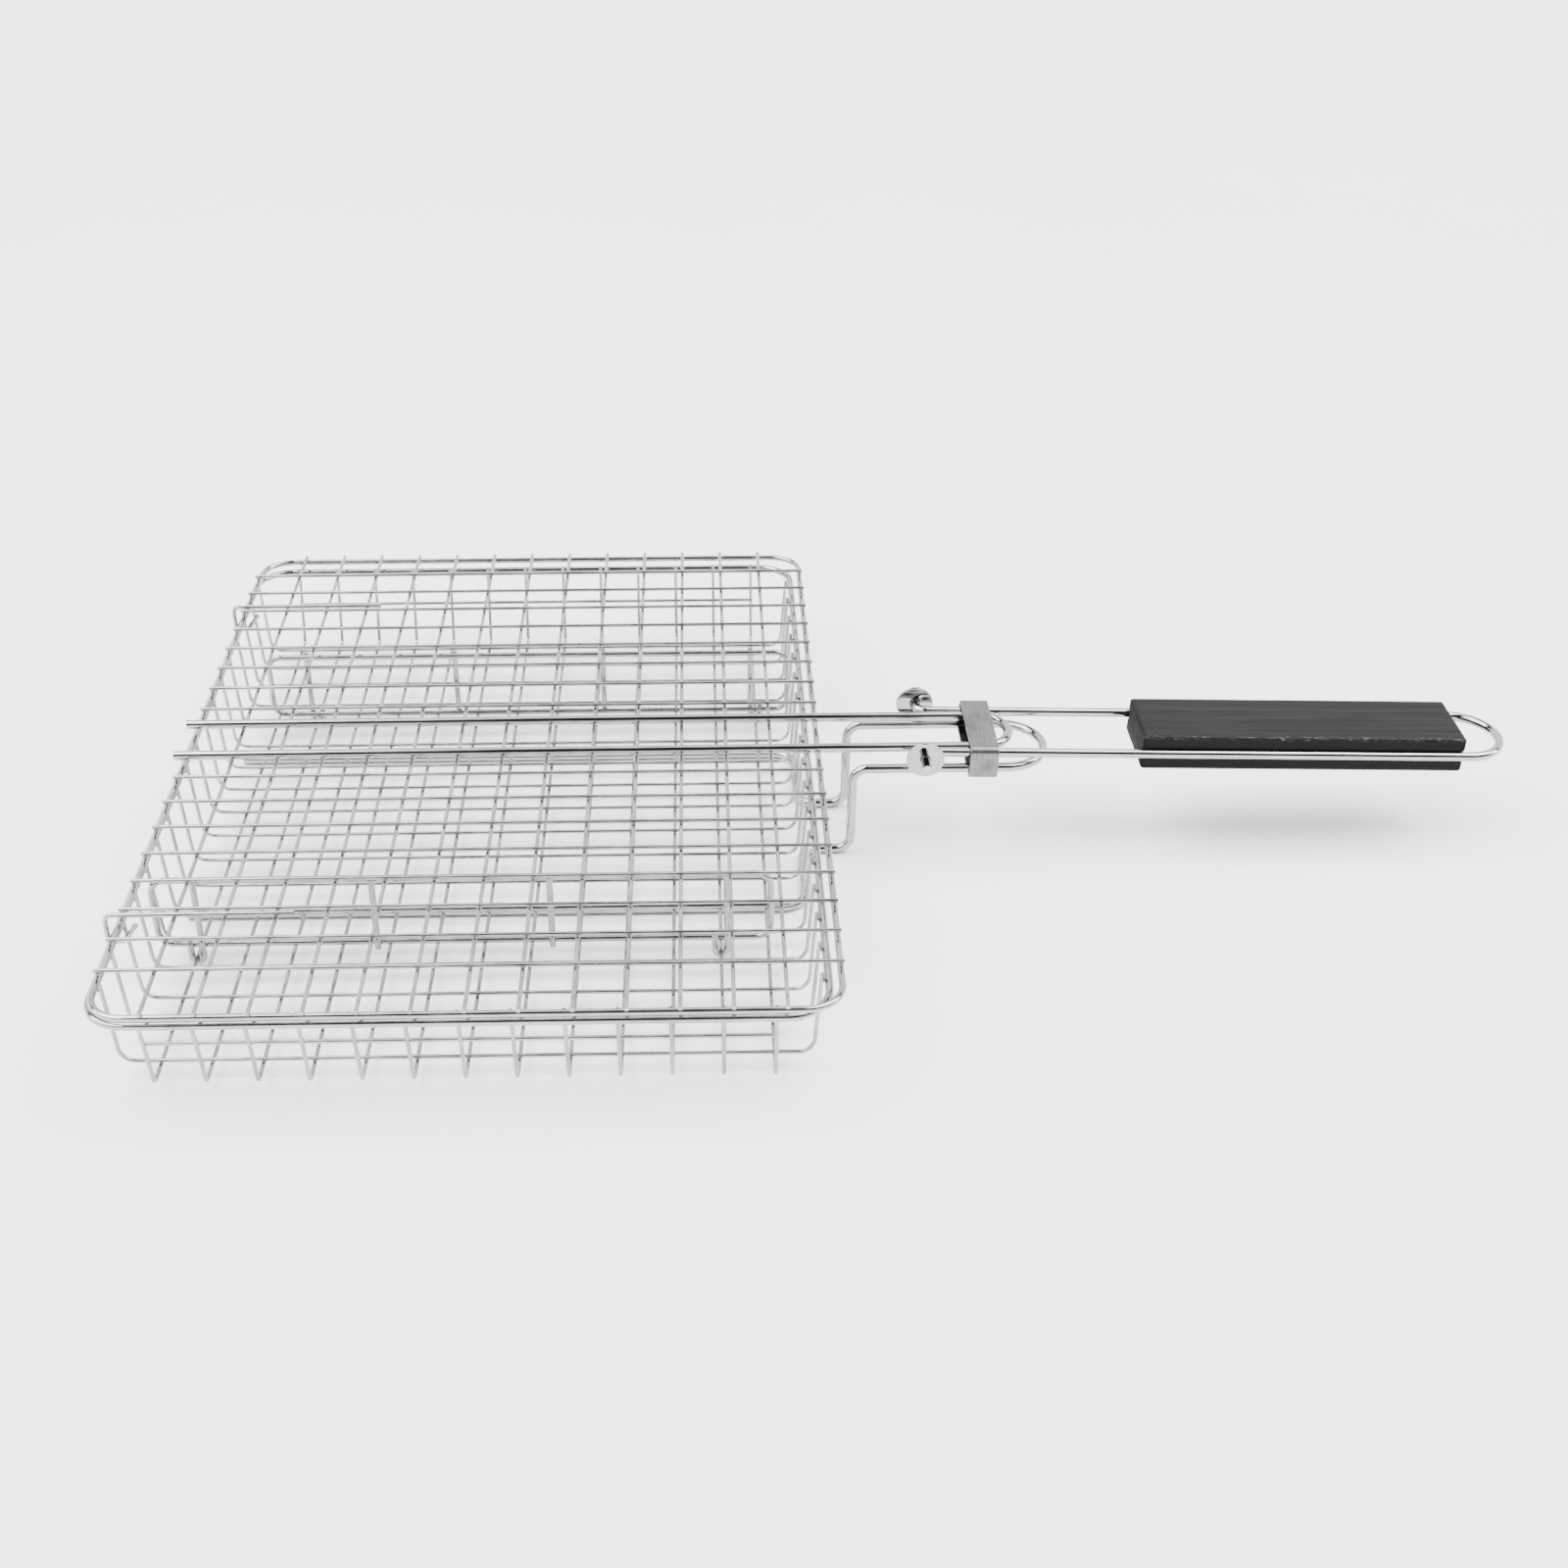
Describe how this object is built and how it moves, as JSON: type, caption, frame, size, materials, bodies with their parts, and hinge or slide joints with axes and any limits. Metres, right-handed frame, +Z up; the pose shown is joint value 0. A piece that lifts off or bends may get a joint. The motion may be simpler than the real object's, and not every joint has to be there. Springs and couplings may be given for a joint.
{
  "type": "grill basket",
  "caption": "Wire grill basket with a hinged mesh lid, removable dividers, and a wood-gripped wire handle whose sliding clip locks the lid shut.",
  "frame": {"origin": "middle of the whole part's box, on the surface that it stands on, with the lid closed and the handle in place", "axes": "+X runs along the handle from the basket towards the grip, +Y is to the side, +Z is up"},
  "size_m": [0.5722, 0.3722, 0.0577],
  "materials": {
    "polished_wire": "polished stainless steel wire",
    "clip_steel": "brushed stainless sheet",
    "disc_steel": "satin stainless disc",
    "grip_wood": "dark stained wood, satin"
  },
  "bodies": {
    "basket": {"basket_rim": "polished_wire", "basket_cross_wires": "polished_wire", "basket_wall_wires_near": "polished_wire", "basket_wall_wires_far": "polished_wire", "basket_long_wires_near": "polished_wire", "basket_long_wires_far": "polished_wire", "wall_stiffener_near": "polished_wire", "wall_stiffener_far": "polished_wire", "bottom_tongue": "polished_wire", "near_divider_frame": "polished_wire", "near_divider_rail": "polished_wire", "near_divider_rods": "polished_wire", "near_divider_feet": "polished_wire", "far_divider_frame": "polished_wire", "far_divider_rail": "polished_wire", "far_divider_rods": "polished_wire", "far_divider_feet": "polished_wire"},
    "lid": {"lid_frame": "polished_wire", "lid_cross_wires": "polished_wire", "lid_long_wires_near": "polished_wire", "lid_long_wires_far": "polished_wire", "lid_tongue": "polished_wire", "hinge_hook_near": "polished_wire", "hinge_hook_far": "polished_wire"},
    "handle": {"handle_wire": "polished_wire", "handle_grip": "grip_wood", "near_stop_disc": "disc_steel", "far_stop_disc": "disc_steel"},
    "clip": {"lock_clip": "clip_steel"}
  },
  "joints": [
    {"name": "lid_hinge", "type": "hinge", "parent": "basket", "child": "lid", "pos_m": [-0.28201, 0, 0.0396], "axis": [0, -1, 0], "range_deg": [0, 180]},
    {"name": "handle_draw", "type": "slide", "parent": "basket", "child": "handle", "axis": [0.9997, 0, -0.0244], "range_m": [0, 0.075]},
    {"name": "clip_slide", "type": "slide", "parent": "handle", "child": "clip", "axis": [0.9997, 0, -0.0244], "range_m": [-0.009, 0.06]}
  ]
}
